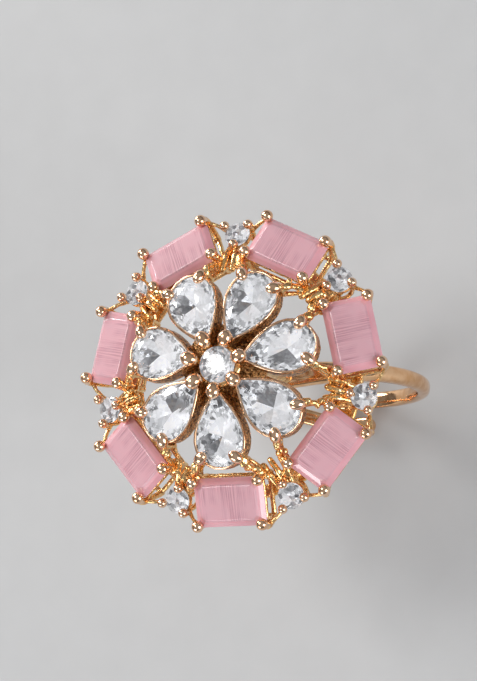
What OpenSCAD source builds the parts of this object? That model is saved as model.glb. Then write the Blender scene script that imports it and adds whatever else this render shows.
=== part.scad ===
// Cocktail ring: a domed flower head with seven-fold symmetry on an open, adjustable band.
// A round centre stone, seven pear petals, seven rectangular step-cut stones round the rim
// and seven small round accents, each stone in its own claw setting.
// Frame: millimetres, +Z up through the head, finger axis along Y,
// origin at the centre of the finger hole. One rim stone lies towards -Y.

/* [Band] */
// Inner diameter of the finger hole
finger_d = 19.4; // [16:0.1:23]
// Thickness of the band, measured outwards from the finger
band_t = 1.15; // [0.8:0.05:1.6]
// Width of the band where it passes under the head
band_top_w = 2.3; // [1.5:0.1:3.5]
// Width of the band from its sides to its tips
band_arm_w = 1.35; // [1:0.05:1.8]
// Sideways gap between the two tips where they pass each other
tip_gap = 0.8; // [0.4:0.05:1.5]
// How far the right arm's tip runs past the bottom of the finger hole
right_tip_past = 0.9; // [0.5:0.1:1.5]
// How far the left arm's tip runs past the bottom of the finger hole
left_tip_past = 2.9; // [1:0.1:4]
// Sideways place of the band's middle, towards +Y
band_lean = 0.2; // [0:0.05:0.4]

/* [Head] */
// Number of petals, rim stones and accents
fold = 7; // [7:1:7]
// Height of the gallery's top face above the top of the band
head_lift = 1.8; // [1.4:0.1:2.6]
// Thickness of the gallery ring
gallery_t = 0.6; // [0.5:0.05:0.9]
// Radial width of the gallery ring
gallery_w = 1.1; // [0.9:0.05:1.3]
// Outer radius of the plate under the petals' tips
plate_r = 3.6; // [3.2:0.1:4]
// Thickness of that plate
plate_t = 0.5; // [0.4:0.05:0.7]
// Diameter of the two posts between the band and the plate
post_d = 1.3; // [1:0.1:1.6]
// Distance of each post from the middle of the head
post_x = 2.6; // [2.2:0.1:2.8]

/* [Centre stone] */
// Diameter of the round centre stone
centre_d = 3; // [2.6:0.1:3.4]
// Height of its girdle above the gallery
centre_rise = 5.8; // [5.4:0.1:6.4]

/* [Petal stones] */
// Length of a pear stone
petal_len = 6; // [5:0.1:7.5]
// Width of a pear stone
petal_w = 4; // [3.2:0.1:4.6]
// Downward slope of a petal away from the centre, degrees
petal_slope = 11; // [8:0.5:14]
// Height of a pear stone's tip above the gallery
petal_rise = 5.8; // [5.4:0.1:6.4]

/* [Rim stones] */
// Length of a rectangular stone, along the rim
rim_len = 6; // [5:0.1:7.5]
// Width of a rectangular stone, across the rim
rim_w = 4; // [3.2:0.1:5]
// Cut corner of a rectangular stone
rim_corner = 0.5; // [0.4:0.05:0.7]
// Outward tilt of the rim stones and accents, degrees
rim_tilt = 18.6; // [12:0.2:22]
// Height of a rectangular stone's girdle above the gallery
rim_rise = 2.65; // [2.5:0.05:3.2]
// Gap in plan between a petal's end and the rim stone behind it
rim_gap = 0.65; // [0.6:0.05:1.2]

/* [Accent stones] */
// Diameter of a small round stone
accent_d = 2; // [1.6:0.1:2.4]
// Height of its girdle above the gallery
accent_rise = 1.9; // [1.8:0.05:2.4]
// Room between an accent's girdle and the end of the rim stone beside it
accent_room = 0.93; // [0.9:0.05:1.3]

/* [Claws] */
// Diameter of the claw wires on the rim and petal stones
wire_d = 0.56; // [0.45:0.01:0.68]
// Diameter of the claw wires on the accents and the centre stone
fine_wire_d = 0.4; // [0.36:0.01:0.46]
// Diameter of the bead on a rim stone's claw
rim_bead_d = 0.92; // [0.8:0.02:1.1]
// Diameter of the bead on a petal's outer claw
petal_bead_d = 0.84; // [0.7:0.02:0.9]
// Diameter of the bead on a petal's tip
tip_bead_d = 1.04; // [0.9:0.02:1.1]
// Diameter of the bead on an accent's claw
accent_bead_d = 0.68; // [0.6:0.02:0.76]

/* [Fits] */
// Gap between a stone and the metal that holds it
seat_gap = 0.03; // [0.02:0.01:0.06]
// Thickness of the rim round a petal stone
cup_wall = 0.2; // [0.15:0.01:0.3]
// Gap between neighbouring castings that stand beside each other
cast_gap = 0.03; // [0.02:0.01:0.06]

/* [Hidden] */
$fn = 48;

gold = "#d9a066";
clear = "#eef1f6";
pink = "#f0a3b4";

step_angle = 360 / fold;
half_step = step_angle / 2;
band_r = finger_d / 2;
band_ro = band_r + band_t;
gallery_top = band_ro + head_lift;
gallery_bottom = gallery_top - gallery_t;
wire_r = wire_d / 2;
fine_r = fine_wire_d / 2;
// a joint between two lengths of wire swells a little
joint_swell = 1.08;

// ---- proportions of the stones ----
girdle_t = 0.1;
crown_share = 0.115;
pavilion_share = 0.375;
petal_crown = 0.5;
petal_pavilion = 1.45;
petal_table_share = 0.55;
petal_widest = 0.65 * petal_len;
petal_culet = 0.6 * petal_len;
rim_crown = 0.55;
rim_crown_in = 0.62;
rim_pavilion = 1.5;
rim_keel_half = max(0.1, (rim_len - rim_w) / 2);

// ---- where the stones sit ----
petal_tip_r = centre_d / 2 + 2 * fine_r + 0.3;
petal_z = gallery_top + petal_rise;
petal_end_r = petal_tip_r + petal_len * cos(petal_slope);
rim_z = gallery_top + rim_rise;
rim_r = petal_end_r + rim_gap + rim_w / 2 * cos(rim_tilt);
accent_z = gallery_top + accent_rise;
accent_r = (rim_len / 2 + accent_d / 2 + accent_room) / sin(half_step);
centre_z = gallery_top + centre_rise;

// ---- rim basket ----
rim_seat_top = -0.45;
rim_seat_h = 0.4;
rim_base_z = -2.6;
rim_base_h = 0.4;
rim_base_x = rim_w / 2 - 0.3;
rim_base_y = rim_len / 2 - 0.3;
rim_rail_w = 0.42;
rim_foot_x = -0.6;
rim_post_out = 0.03;
rim_bead_in = 0.24;
rim_bead_z = girdle_t / 2 + (rim_bead_d / 2 + seat_gap) / cos(atan(rim_crown / rim_crown_in));

// ---- petal cup ----
cup_depth = 1.3;
cup_bottom_z = petal_z - cup_depth / cos(petal_slope);
cup_lip = 0.08;
ledge_top = -0.3;
petal_claw_angle = 49;
// the stone's own reach from its widest place towards a claw
petal_claw_reach = (petal_len - petal_widest) * petal_w / 2
    / norm([petal_w / 2 * cos(petal_claw_angle), (petal_len - petal_widest) * sin(petal_claw_angle)]);
petal_claw_in = petal_claw_reach + 0.06;
petal_claw_out = petal_claw_reach + cup_wall + wire_r - 0.07;
petal_bead_z = 0.52;
petal_knee_z = 0.3;

// ---- accent collet ----
accent_seat_top = -0.3;
accent_seat_h = 0.4;
accent_base_z = -2.2;
accent_base_h = 0.4;
accent_base_ro = accent_d / 2 + 0.1;
accent_post_r = accent_d / 2 + seat_gap + fine_r + 0.02;
accent_bead_r = accent_d / 2 + 0.18;
accent_bead_z = 0.46;
accent_arm_w = 0.8;

// ---- centre collet ----
centre_seat_top = -0.35;
centre_seat_h = 0.7;
centre_post_r = centre_d / 2 + seat_gap + fine_r + 0.03;
centre_bead_r = centre_d / 2 + 0.58;
centre_bead_z = 0.71;
centre_pocket = pavilion_share * centre_d + girdle_t / 2 + 0.08;
stem_r = 0.95;

// ---- band outline, seen along Z ----
outline_steps = 24;
right_side_y = band_lean + 0.85;
left_side_y = band_lean + 0.25;
right_tip_y = band_lean + (band_arm_w + tip_gap) / 2;
left_tip_y = band_lean - (band_arm_w + tip_gap) / 2;
left_turn_x = -5.5;
left_turned_x = 1;

// Smooth step from 0 to 1
function ease(t) = let (u = min(1, max(0, t))) u * u * (3 - 2 * u);
function mix(a, b, t) = a + (b - a) * t;
function turned(p, angle) = [
    p[0] * cos(angle) - p[1] * sin(angle),
    p[0] * sin(angle) + p[1] * cos(angle),
    p[2]
];
// A point of a tilted setting, in the frame of the ring's own spoke
function placed(p, r, z, tilt) = [
    r + p[0] * cos(tilt) + p[2] * sin(tilt),
    p[1],
    z - p[0] * sin(tilt) + p[2] * cos(tilt)
];

// Pear outline: sine sides that meet at the tip and an elliptical round end
function pear_point(t) = t <= 0.5
    ? [petal_widest * 2 * t, petal_w / 2 * sin(180 * t)]
    : [petal_widest + (petal_len - petal_widest) * sin(180 * (t - 0.5)),
       petal_w / 2 * cos(180 * (t - 0.5))];
pear_nudge = 0.01;
function pear_slope(t) = let (
    a = pear_point(max(0, t - pear_nudge)),
    b = pear_point(min(1, t + pear_nudge)),
    d = b - a
) d / norm(d);
// The outline moved outwards by some distance, upper half
function pear_offset_point(t, out) = let (d = pear_slope(t))
    pear_point(t) + out * [-d[1], d[0]];
pear_steps = 18;
function pear_half(out, s = 1) = [
    for (i = [0 : pear_steps])
        let (p = pear_offset_point(i / pear_steps, out))
            [petal_culet + (p[0] - petal_culet) * s, p[1] * s]
];
// A closed outline from an upper half that starts at the tip and ends on the axis
function mirrored(half) = concat(
    [for (p = half) [p[0], max(0.001, p[1])]],
    [for (i = [len(half) - 1 : -1 : 0]) [half[i][0], -max(0.001, half[i][1])]]
);

// Ring of points at height z round an octagon-like stone
function circle_points(n, r, z, from = 0) = [
    for (i = [0 : n - 1]) [r * cos(from + 360 * i / n), r * sin(from + 360 * i / n), z]
];
// Round brilliant of diameter d, girdle at z = 0
function brilliant_points(d) = concat(
    circle_points(8, 0.28 * d, crown_share * d + girdle_t / 2),
    circle_points(8, 0.40 * d, 0.068 * d + girdle_t / 2, 22.5),
    circle_points(16, 0.5 * d, girdle_t / 2),
    circle_points(16, 0.5 * d, -girdle_t / 2),
    [[0, 0, -pavilion_share * d - girdle_t / 2]]
);
function lifted(outline, z) = [for (p = outline) [p[0], p[1], z]];
function pear_stone_points() = concat(
    lifted(mirrored(pear_half(0, petal_table_share)), petal_crown),
    lifted(mirrored(pear_half(0, 0.8)), 0.3),
    lifted(mirrored(pear_half(0)), girdle_t / 2),
    lifted(mirrored(pear_half(0)), -girdle_t / 2),
    [[petal_culet, 0, -petal_pavilion]]
);
// Rectangle with cut corners, half sizes a and b
function cut_rectangle(a, b, c) = [
    [a, b - c], [a - c, b], [c - a, b], [-a, b - c],
    [-a, c - b], [c - a, -b], [a - c, -b], [a, c - b]
];
function rim_stone_points() = let (a = rim_w / 2, b = rim_len / 2) concat(
    lifted(cut_rectangle(a - rim_crown_in, b - rim_crown_in, rim_corner * 0.8), rim_crown),
    lifted(cut_rectangle(a, b, rim_corner), girdle_t / 2),
    lifted(cut_rectangle(a, b, rim_corner), -girdle_t / 2),
    [[0, rim_keel_half, -rim_pavilion], [0, -rim_keel_half, -rim_pavilion]]
);

// Convex stone through a cloud of facet corners
module cut_stone(points) {
    hull() polyhedron(points, [for (i = [1 : len(points) - 2]) [0, i, i + 1]]);
}

// Straight wire between two points
module rod(a, b, r) {
    v = b - a;
    translate(a)
        rotate([0, acos(v[2] / norm(v)), atan2(v[1], v[0])])
            cylinder(h = norm(v), r = r);
}

// Claw: a wire from its foot to its knee, then leaning in to a bead
module claw(foot, knee, tip, r, bead_r) {
    rod(foot, knee, r);
    translate(knee) sphere(r = r * joint_swell);
    rod(knee, tip, r);
    translate(tip) sphere(r = bead_r);
}

// Places a piece on spoke k of the head; rim stones and petals share spokes
module on_spoke(k, between = 0) {
    rotate(-90 + step_angle * (k - 1) + half_step * between) children();
}
module tilted(r, z, tilt) {
    translate([r, 0, z]) rotate([0, tilt, 0]) children();
}

// ---------------- band ----------------
function band_top_y(x) = x > 0
    ? mix(band_lean, right_side_y, ease(x / band_ro))
    : mix(band_lean, left_side_y, ease(-x / band_ro));
function band_top_half(x) = mix(band_top_w, band_arm_w, ease(abs(x) / band_ro)) / 2;
function right_arm_y(x) = mix(right_side_y, right_tip_y, ease((band_ro - x) / band_ro));
function left_arm_y(x) = mix(left_side_y, left_tip_y, ease((x - left_turn_x) / (left_turned_x - left_turn_x)));

module band_part(from_x, to_x, from_z) {
    xs = [for (i = [0 : outline_steps]) mix(from_x, to_x, i / outline_steps)];
    intersection() {
        rotate([90, 0, 0]) difference() {
            cylinder(h = 4 * band_top_w, r = band_ro, center = true, $fn = 128);
            cylinder(h = 5 * band_top_w, r = band_r, center = true, $fn = 128);
        }
        translate([0, 0, from_z])
            linear_extrude(band_ro)
                polygon(concat([for (x = xs) band_edge(x, from_x, from_z, 1)],
                    [for (i = [outline_steps : -1 : 0]) band_edge(xs[i], from_x, from_z, -1)]));
    }
}
// Edge of the band at x: the top half above z = 0, the right or left arm below it
function band_edge(x, from_x, from_z, side) = from_z == 0
    ? [x, band_top_y(x) + side * band_top_half(x)]
    : from_x > 0
        ? [x, right_arm_y(x) + side * band_arm_w / 2]
        : [x, left_arm_y(x) + side * band_arm_w / 2];

module shank() {
    color(gold) {
        band_part(-band_ro, band_ro, 0);
        band_part(band_ro, -right_tip_past, -band_ro);
        band_part(-band_ro, left_tip_past, -band_ro);
    }
}

// ---------------- head frame ----------------
// Foot of the basket on the gallery ring, in the frame of its spoke
rim_foot = placed([rim_foot_x, rim_base_y, rim_base_z + rim_base_h / 2], rim_r, rim_z, rim_tilt);
gallery_ri = norm([rim_foot[0], rim_foot[1]]) - gallery_w / 2;
gallery_ro = gallery_ri + gallery_w;

module gallery_ring() {
    color(gold)
        translate([0, 0, gallery_bottom])
            difference() {
                cylinder(h = gallery_t, r = gallery_ro, $fn = 128);
                translate([0, 0, -1]) cylinder(h = gallery_t + 2, r = gallery_ri, $fn = 128);
            }
}

// Dished plate whose top lies under the cups, with a hole for the centre's stem
function plate_top(r) = cup_bottom_z - (r - petal_tip_r) * tan(petal_slope);
module cluster_plate() {
    inner = stem_r + seat_gap;
    color(gold) rotate_extrude($fn = 96)
        polygon([
            [inner, plate_top(inner) - plate_t], [plate_r, plate_top(plate_r) - plate_t],
            [plate_r, plate_top(plate_r)], [inner, plate_top(inner)]
        ]);
}

// Post from the band's outer face up to the plate's underside
module support_post(x) {
    color(gold) difference() {
        translate([x, band_lean, band_r])
            cylinder(h = plate_top(0) - plate_t - band_r, r = post_d / 2);
        rotate([90, 0, 0]) cylinder(h = 6 * band_top_w, r = band_ro, center = true, $fn = 128);
        rotate_extrude($fn = 96)
            polygon([
                [0, plate_top(0) - plate_t], [2 * plate_r, plate_top(2 * plate_r) - plate_t],
                [2 * plate_r, plate_top(0) + 1], [0, plate_top(0) + 1]
            ]);
    }
}
module left_post() {
    support_post(-post_x);
}
module right_post() {
    support_post(post_x);
}

// ---------------- centre ----------------
function cone_radius(d, depth) = d / 2 * (1 + (depth + girdle_t / 2) / (pavilion_share * d));

module centre_setting() {
    stem_bottom = plate_top(stem_r) - plate_t;
    color(gold) {
        difference() {
            union() {
                translate([0, 0, centre_z + centre_seat_top - centre_seat_h])
                    cylinder(h = centre_seat_h, r = centre_post_r - 0.1);
                translate([0, 0, stem_bottom])
                    cylinder(h = centre_z + centre_seat_top - 0.1 - stem_bottom, r = stem_r);
            }
            translate([0, 0, centre_z + centre_seat_top - 0.35])
                cylinder(h = 1, r = cone_radius(centre_d, centre_seat_top) + seat_gap);
            translate([0, 0, centre_z - centre_pocket])
                cylinder(h = 1, r = stem_r - 0.3);
        }
        for (k = [1 : fold])
            on_spoke(k)
                translate([0, 0, centre_z])
                    claw([centre_post_r, 0, centre_seat_top - centre_seat_h],
                        [centre_post_r, 0, 0.3],
                        [centre_bead_r, 0, centre_bead_z], fine_r, tip_bead_d / 2);
    }
}

module centre_stone() {
    color(clear) translate([0, 0, centre_z]) cut_stone(brilliant_points(centre_d));
}

// ---------------- petals ----------------
function petal_claw_point(dist, z, side) = [
    petal_widest + dist * cos(petal_claw_angle),
    side * dist * sin(petal_claw_angle),
    z
];

// Wire from a petal's outer claw down to the rim basket's inner claw, which it just clears
module petal_link(knee, side) {
    post = placed([-rim_w / 2 - rim_post_out, side * (rim_len / 2 + rim_post_out), -0.5],
        rim_r, rim_z, rim_tilt);
    run = (post - knee) / norm(post - knee);
    lean = acos(abs(run * [sin(rim_tilt), 0, cos(rim_tilt)]));
    stop = (wire_r + wire_r * cos(lean) + cast_gap) / sin(lean);
    rod(knee, post - run * stop, wire_r);
}

module petal_setting(k) {
    section = 1 + (ledge_top + girdle_t / 2) / (petal_pavilion - girdle_t / 2);
    color(gold) on_spoke(k) {
        difference() {
            tilted(petal_tip_r, petal_z, petal_slope) difference() {
                translate([0, 0, -cup_depth])
                    linear_extrude(cup_depth + cup_lip)
                        polygon(mirrored(pear_half(cup_wall + seat_gap)));
                translate([0, 0, ledge_top])
                    linear_extrude(1) polygon(mirrored(pear_half(seat_gap)));
                translate([0, 0, -2 * cup_depth])
                    linear_extrude(3 * cup_depth)
                        polygon(mirrored(pear_half(seat_gap, section)));
            }
            cylinder(h = 2 * petal_z, r = centre_post_r + fine_r + cast_gap);
        }
        for (side = [-1, 1]) {
            foot = placed(petal_claw_point(petal_claw_out, -cup_depth, side),
                petal_tip_r, petal_z, petal_slope);
            knee = placed(petal_claw_point(petal_claw_out, petal_knee_z, side),
                petal_tip_r, petal_z, petal_slope);
            tip = placed(petal_claw_point(petal_claw_in, petal_bead_z, side),
                petal_tip_r, petal_z, petal_slope);
            claw(foot, knee, tip, wire_r, petal_bead_d / 2);
            petal_link(knee, side);
        }
    }
}

module petal_stone(k) {
    color(clear)
        on_spoke(k)
            tilted(petal_tip_r, petal_z, petal_slope)
                cut_stone(pear_stone_points());
}

// ---------------- rim ----------------
// Rectangular rail, outer half sizes a and b, bar width w
module rail(a, b, w, h) {
    difference() {
        translate([-a, -b, 0]) cube([2 * a, 2 * b, h]);
        translate([w - a, w - b, -1]) cube([2 * (a - w), 2 * (b - w), h + 2]);
    }
}

module rim_setting(k) {
    a = rim_w / 2;
    b = rim_len / 2;
    seat_depth = -rim_seat_top - girdle_t / 2;
    seat_w = a * seat_depth / (rim_pavilion - girdle_t / 2) - seat_gap - 0.05;
    color(gold) on_spoke(k) {
        tilted(rim_r, rim_z, rim_tilt) {
            translate([0, 0, rim_seat_top - rim_seat_h])
                rail(a - 0.05, b - 0.05, seat_w, rim_seat_h);
            translate([0, 0, rim_base_z])
                rail(rim_base_x + rim_rail_w / 2, rim_base_y + rim_rail_w / 2, rim_rail_w, rim_base_h);
            for (sx = [-1, 1], sy = [-1, 1])
                claw([sx * rim_base_x, sy * rim_base_y, rim_base_z + 0.05],
                    [sx * (a + rim_post_out), sy * (b + rim_post_out), 0.15],
                    [sx * (a - rim_bead_in), sy * (b - rim_bead_in), rim_bead_z],
                    wire_r, rim_bead_d / 2);
        }
        for (sy = [-1, 1])
            rod([rim_foot[0], sy * rim_foot[1], gallery_top],
                [rim_foot[0], sy * rim_foot[1], rim_foot[2]], wire_r * 0.7);
    }
}

module rim_stone(k) {
    color(pink)
        on_spoke(k)
            tilted(rim_r, rim_z, rim_tilt)
                cut_stone(rim_stone_points());
}

// ---------------- accents ----------------
module accent_setting(k) {
    color(gold) on_spoke(k, between = 1) {
        difference() {
            union() {
                tilted(accent_r, accent_z, rim_tilt) {
                    translate([0, 0, accent_seat_top - accent_seat_h])
                        cylinder(h = accent_seat_h, r = accent_base_ro);
                    translate([0, 0, accent_base_z])
                        cylinder(h = accent_base_h, r = accent_base_ro);
                    for (turn = [180, 60, -60])
                        rotate(turn)
                            claw([accent_base_ro - fine_r, 0, accent_base_z + 0.1],
                                [accent_post_r, 0, 0.1],
                                [accent_bead_r, 0, accent_bead_z], fine_r, accent_bead_d / 2);
                }
                translate([gallery_ri, -accent_arm_w / 2, gallery_bottom])
                    cube([accent_r - gallery_ri - 0.5, accent_arm_w, gallery_t]);
            }
            tilted(accent_r, accent_z, rim_tilt)
                translate([0, 0, accent_seat_top - accent_seat_h - 0.1])
                    cylinder(h = 2 * accent_seat_h,
                        r = cone_radius(accent_d, accent_seat_top) + seat_gap);
            translate([0, 0, gallery_bottom - 1])
                cylinder(h = gallery_t + 2, r = gallery_ro, $fn = 128);
        }
        for (side = [-1, 1]) accent_link(side);
    }
}

// Wire along the rim from an accent's outer claw to the rim stone's outer claw beside it
module accent_link(side) {
    start = placed([accent_post_r * cos(60), side * accent_post_r * sin(60), -0.6],
        accent_r, accent_z, rim_tilt);
    post = turned(placed([rim_w / 2, -side * rim_len / 2, -0.35], rim_r, rim_z, rim_tilt),
        side * half_step);
    run = post - start;
    reach = norm(run) - wire_r - fine_r - cast_gap;
    rod(start, start + run / norm(run) * reach, fine_r);
}

module accent_stone(k) {
    color(clear)
        on_spoke(k, between = 1)
            tilted(accent_r, accent_z, rim_tilt)
                cut_stone(brilliant_points(accent_d));
}

shank();
left_post();
right_post();
cluster_plate();
gallery_ring();
centre_setting();
centre_stone();
petal_setting(1);  // petal_setting_1
petal_setting(2);  // petal_setting_2
petal_setting(3);  // petal_setting_3
petal_setting(4);  // petal_setting_4
petal_setting(5);  // petal_setting_5
petal_setting(6);  // petal_setting_6
petal_setting(7);  // petal_setting_7
petal_stone(1);  // petal_stone_1
petal_stone(2);  // petal_stone_2
petal_stone(3);  // petal_stone_3
petal_stone(4);  // petal_stone_4
petal_stone(5);  // petal_stone_5
petal_stone(6);  // petal_stone_6
petal_stone(7);  // petal_stone_7
rim_setting(1);  // rim_setting_1
rim_setting(2);  // rim_setting_2
rim_setting(3);  // rim_setting_3
rim_setting(4);  // rim_setting_4
rim_setting(5);  // rim_setting_5
rim_setting(6);  // rim_setting_6
rim_setting(7);  // rim_setting_7
rim_stone(1);  // rim_stone_1
rim_stone(2);  // rim_stone_2
rim_stone(3);  // rim_stone_3
rim_stone(4);  // rim_stone_4
rim_stone(5);  // rim_stone_5
rim_stone(6);  // rim_stone_6
rim_stone(7);  // rim_stone_7
accent_setting(1);  // accent_setting_1
accent_setting(2);  // accent_setting_2
accent_setting(3);  // accent_setting_3
accent_setting(4);  // accent_setting_4
accent_setting(5);  // accent_setting_5
accent_setting(6);  // accent_setting_6
accent_setting(7);  // accent_setting_7
accent_stone(1);  // accent_stone_1
accent_stone(2);  // accent_stone_2
accent_stone(3);  // accent_stone_3
accent_stone(4);  // accent_stone_4
accent_stone(5);  // accent_stone_5
accent_stone(6);  // accent_stone_6
accent_stone(7);  // accent_stone_7
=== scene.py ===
import math
import random

import bmesh
import bpy
from mathutils import Matrix, Vector, noise


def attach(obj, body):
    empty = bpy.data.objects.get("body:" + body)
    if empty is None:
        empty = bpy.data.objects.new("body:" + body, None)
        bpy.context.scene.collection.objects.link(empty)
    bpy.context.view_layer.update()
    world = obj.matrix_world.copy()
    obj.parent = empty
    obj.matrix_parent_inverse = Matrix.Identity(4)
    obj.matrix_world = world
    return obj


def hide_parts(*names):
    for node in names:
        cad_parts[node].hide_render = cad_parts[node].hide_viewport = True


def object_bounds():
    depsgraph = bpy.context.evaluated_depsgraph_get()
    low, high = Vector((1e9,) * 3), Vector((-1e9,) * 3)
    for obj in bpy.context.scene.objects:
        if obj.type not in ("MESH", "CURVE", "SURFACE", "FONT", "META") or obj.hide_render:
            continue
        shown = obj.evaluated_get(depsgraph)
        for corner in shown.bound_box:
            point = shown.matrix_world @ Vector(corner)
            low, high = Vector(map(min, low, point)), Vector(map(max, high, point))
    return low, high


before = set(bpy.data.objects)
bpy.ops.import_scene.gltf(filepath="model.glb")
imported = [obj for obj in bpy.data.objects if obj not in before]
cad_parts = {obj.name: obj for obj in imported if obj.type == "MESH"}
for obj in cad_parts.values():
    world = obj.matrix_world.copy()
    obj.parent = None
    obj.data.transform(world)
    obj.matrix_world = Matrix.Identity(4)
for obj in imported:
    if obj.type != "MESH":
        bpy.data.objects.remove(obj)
cad_low, cad_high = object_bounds()

# Cocktail ring: seven pear petals and seven rectangular rim stones in rose-gold castings
# on an open band. Pieces are drawn in millimetres and scaled to metres when they are placed.
MM = 0.001
FOLD = 7
STEP = 360 / FOLD

# ---- sizes shared with the part, millimetres ----
BAND_RI, BAND_RO = 9.7, 10.85
BAND_TOP_W, BAND_ARM_W = 2.3, 1.35
BAND_LEAN = 0.2
BAND_SIDE_Y = (1.05, 0.45)
BAND_TIP_Y = (1.275, -0.875)
BAND_TIP_X = (-0.9, 2.9)
LEFT_TURN = (-5.5, 1.0)
GALLERY_TOP, GALLERY_T, GALLERY_R, GALLERY_W = 12.65, 0.6, 9.68, 1.1
PLATE_RI, PLATE_RO, PLATE_T = 0.98, 3.6, 0.5
POST_X = 2.6
PETAL_R, PETAL_Z, PETAL_SLOPE = 2.2, 18.45, 11
PETAL_LEN, PETAL_W, PETAL_WIDEST, PETAL_CULET = 6.0, 4.0, 3.9, 3.6
RIM_Z, RIM_TILT, RIM_A, RIM_B = 15.3, 18.6, 2.0, 3.0
RIM_R = 10.635
ACCENT_R, ACCENT_Z, ACCENT_D = 11.362, 14.55, 2.0
CENTRE_Z, CENTRE_D = 18.45, 3.0
CUP_DEPTH = 1.3

# ---- shapes of the visible pieces, millimetres ----
# band section: radius of its widest line, rise outside it, drop inside it, length of its tips
BAND_WIDEST_R, BAND_RISE, BAND_DROP, BAND_TIP_CAP = 10.19, 0.66, 0.49, 0.55
# (distance outward from the stone's wall, height) round the wall of a pear cup
CUP_PROFILE = ((0.035, -1.25), (0.035, -0.32), (0.035, 0.0), (0.06, 0.075), (0.11, 0.1),
               (0.17, 0.085), (0.22, 0.03), (0.235, -0.08), (0.24, -0.2), (0.24, -0.45),
               (0.235, -0.7), (0.235, -0.95), (0.235, -1.22), (0.13, -1.3))
CUP_CLEAR_R = 2.02
# (distance from the middle, height, wire radius) up each claw of the round collets
CENTRE_CLAW = ((0.75, -1.3, 0.25), (1.42, -0.95, 0.24), (1.76, -0.3, 0.21), (1.84, 0.35, 0.24))
ACCENT_CLAW = ((0.85, -2.1, 0.22), (1.1, -1.0, 0.2), (1.27, 0.1, 0.21), (1.2, 0.4, 0.2))
# (across, along, height, wire radius) up each corner claw of a rim basket
RIM_CLAW = ((1.7, 2.7, -2.5, 0.27), (1.86, 2.86, -1.5, 0.27), (2.02, 3.02, -0.4, 0.28),
            (2.04, 3.04, 0.2, 0.29), (1.9, 2.9, 0.55, 0.28))
# (half width, half length, corner, height) of each level of the rectangular step cut
STEP_CUT = ((1.36, 2.36, 0.30, 0.55), (1.70, 2.70, 0.36, 0.335), (2.0, 3.0, 0.42, 0.05),
            (2.0, 3.0, 0.42, -0.05), (1.35, 2.35, 0.28, -0.72), (0.7, 1.7, 0.16, -1.2),
            (0.06, 1.06, 0.03, -1.5))
# (size, share) of the coarse and the fine unevenness of a cast skin
SKIN_NOISE = ((2.6, 1.3), (6.5, 0.35))
# half length of a small lump of metal left on a casting
LUMP_REACH = 0.16
# turn of a pear's two outer claws from its length, degrees
PETAL_CLAW_TURN = 49
# crown height and back depth of a round stone: share of its width, and what is added
ROUND_CROWN, ROUND_BACK, ROUND_EXTRA = 0.115, 0.375, 0.05
ACCENT_GEM_D = ACCENT_D + 0.14
# stations round a brilliant cut, and the least height of its girdle
CUT_STATIONS = 16
GIRDLE_LEAST = 0.012
# range of painted reflections, dark and bright, of the main facets, and of the small facets round
# the girdle
DARK_REFLECTION, BRIGHT_REFLECTION, FAN_REFLECTION = (0.0, 0.14), (0.65, 1.0), (0.25, 1.0)
# first main facet of each pear with a dark painted reflection, counted round from the tip
PEAR_SHADED = (10, 0, 12, 2, 4, 6, 14)


def mix(a, b, t):
    return a + (b - a) * t


def ease(t):
    u = min(1.0, max(0.0, t))
    return u * u * (3 - 2 * u)


def catmull(a, b, c, d, t):
    """Smooth value between b and c, led by a and d."""
    return 0.5 * (2 * b + (c - a) * t + (2 * a - 5 * b + 4 * c - d) * t * t
                  + (3 * b - a - 3 * c + d) * t * t * t)


def squared(c, power):
    """Sine or cosine pushed towards a square section."""
    return math.copysign(abs(c) ** power, c)


def circle(r, z, count):
    """Points of a level circle round the upright axis."""
    return [(r * math.cos(2 * math.pi * i / count), r * math.sin(2 * math.pi * i / count), z)
            for i in range(count)]


def ring_round(middle, side, up, r, sides):
    """Points of a circle that lies across a wire or a bead."""
    return [middle + (side * math.cos(2 * math.pi * j / sides)
                      + up * math.sin(2 * math.pi * j / sides)) * r for j in range(sides)]


def lift(z):
    return Vector((0, 0, z))


def placed(p, r, z, tilt):
    """A point of a tilted setting, in the frame of its spoke."""
    c, s = math.cos(math.radians(tilt)), math.sin(math.radians(tilt))
    return Vector((r + p[0] * c + p[2] * s, p[1], z - p[0] * s + p[2] * c))


def turned(p, degrees):
    return Matrix.Rotation(math.radians(degrees), 3, "Z") @ Vector(p)


def spoke(k, between=0.0):
    """Turns a piece drawn along +X onto spoke k of the head."""
    return Matrix.Rotation(math.radians(-90 + STEP * (k - 1 + between / 2)), 4, "Z")


def seat(r, z, tilt):
    """Place of a stone in its spoke, metres."""
    return Matrix.Translation((r * MM, 0, z * MM)) @ Matrix.Rotation(math.radians(tilt), 4, "Y")


# ---------------------------------------------------------------- mesh code
def put_in_scene(name, data):
    made = bpy.data.objects.new(name, data)
    bpy.context.scene.collection.objects.link(made)
    return made


def finish_piece(name, mesh, matrix, finishes, nodes, smooth=True):
    """Scales a mesh to metres, places it, gives it its finishes and ties it to the part."""
    mesh.transform(Matrix.Scale(MM, 4))
    mesh.polygons.foreach_set("use_smooth", [smooth] * len(mesh.polygons))
    mesh.update()
    piece = put_in_scene(name, mesh)
    piece.matrix_world = matrix
    for finish in finishes:
        mesh.materials.append(finish)
    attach(piece, "root")
    if nodes:
        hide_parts(*nodes)
    return piece


def spline(points, per_span=6):
    """Smooth path through (point, radius) pairs, Catmull-Rom."""
    pts = [(Vector(p), r) for p, r in points]
    out = []
    for i in range(len(pts) - 1):
        p0 = pts[max(i - 1, 0)]
        p1, p2 = pts[i], pts[i + 1]
        p3 = pts[min(i + 2, len(pts) - 1)]
        for j in range(per_span):
            t = j / per_span
            out.append((catmull(p0[0], p1[0], p2[0], p3[0], t),
                        max(0.02, catmull(p0[1], p1[1], p2[1], p3[1], t))))
    out.append(pts[-1])
    return out


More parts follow.
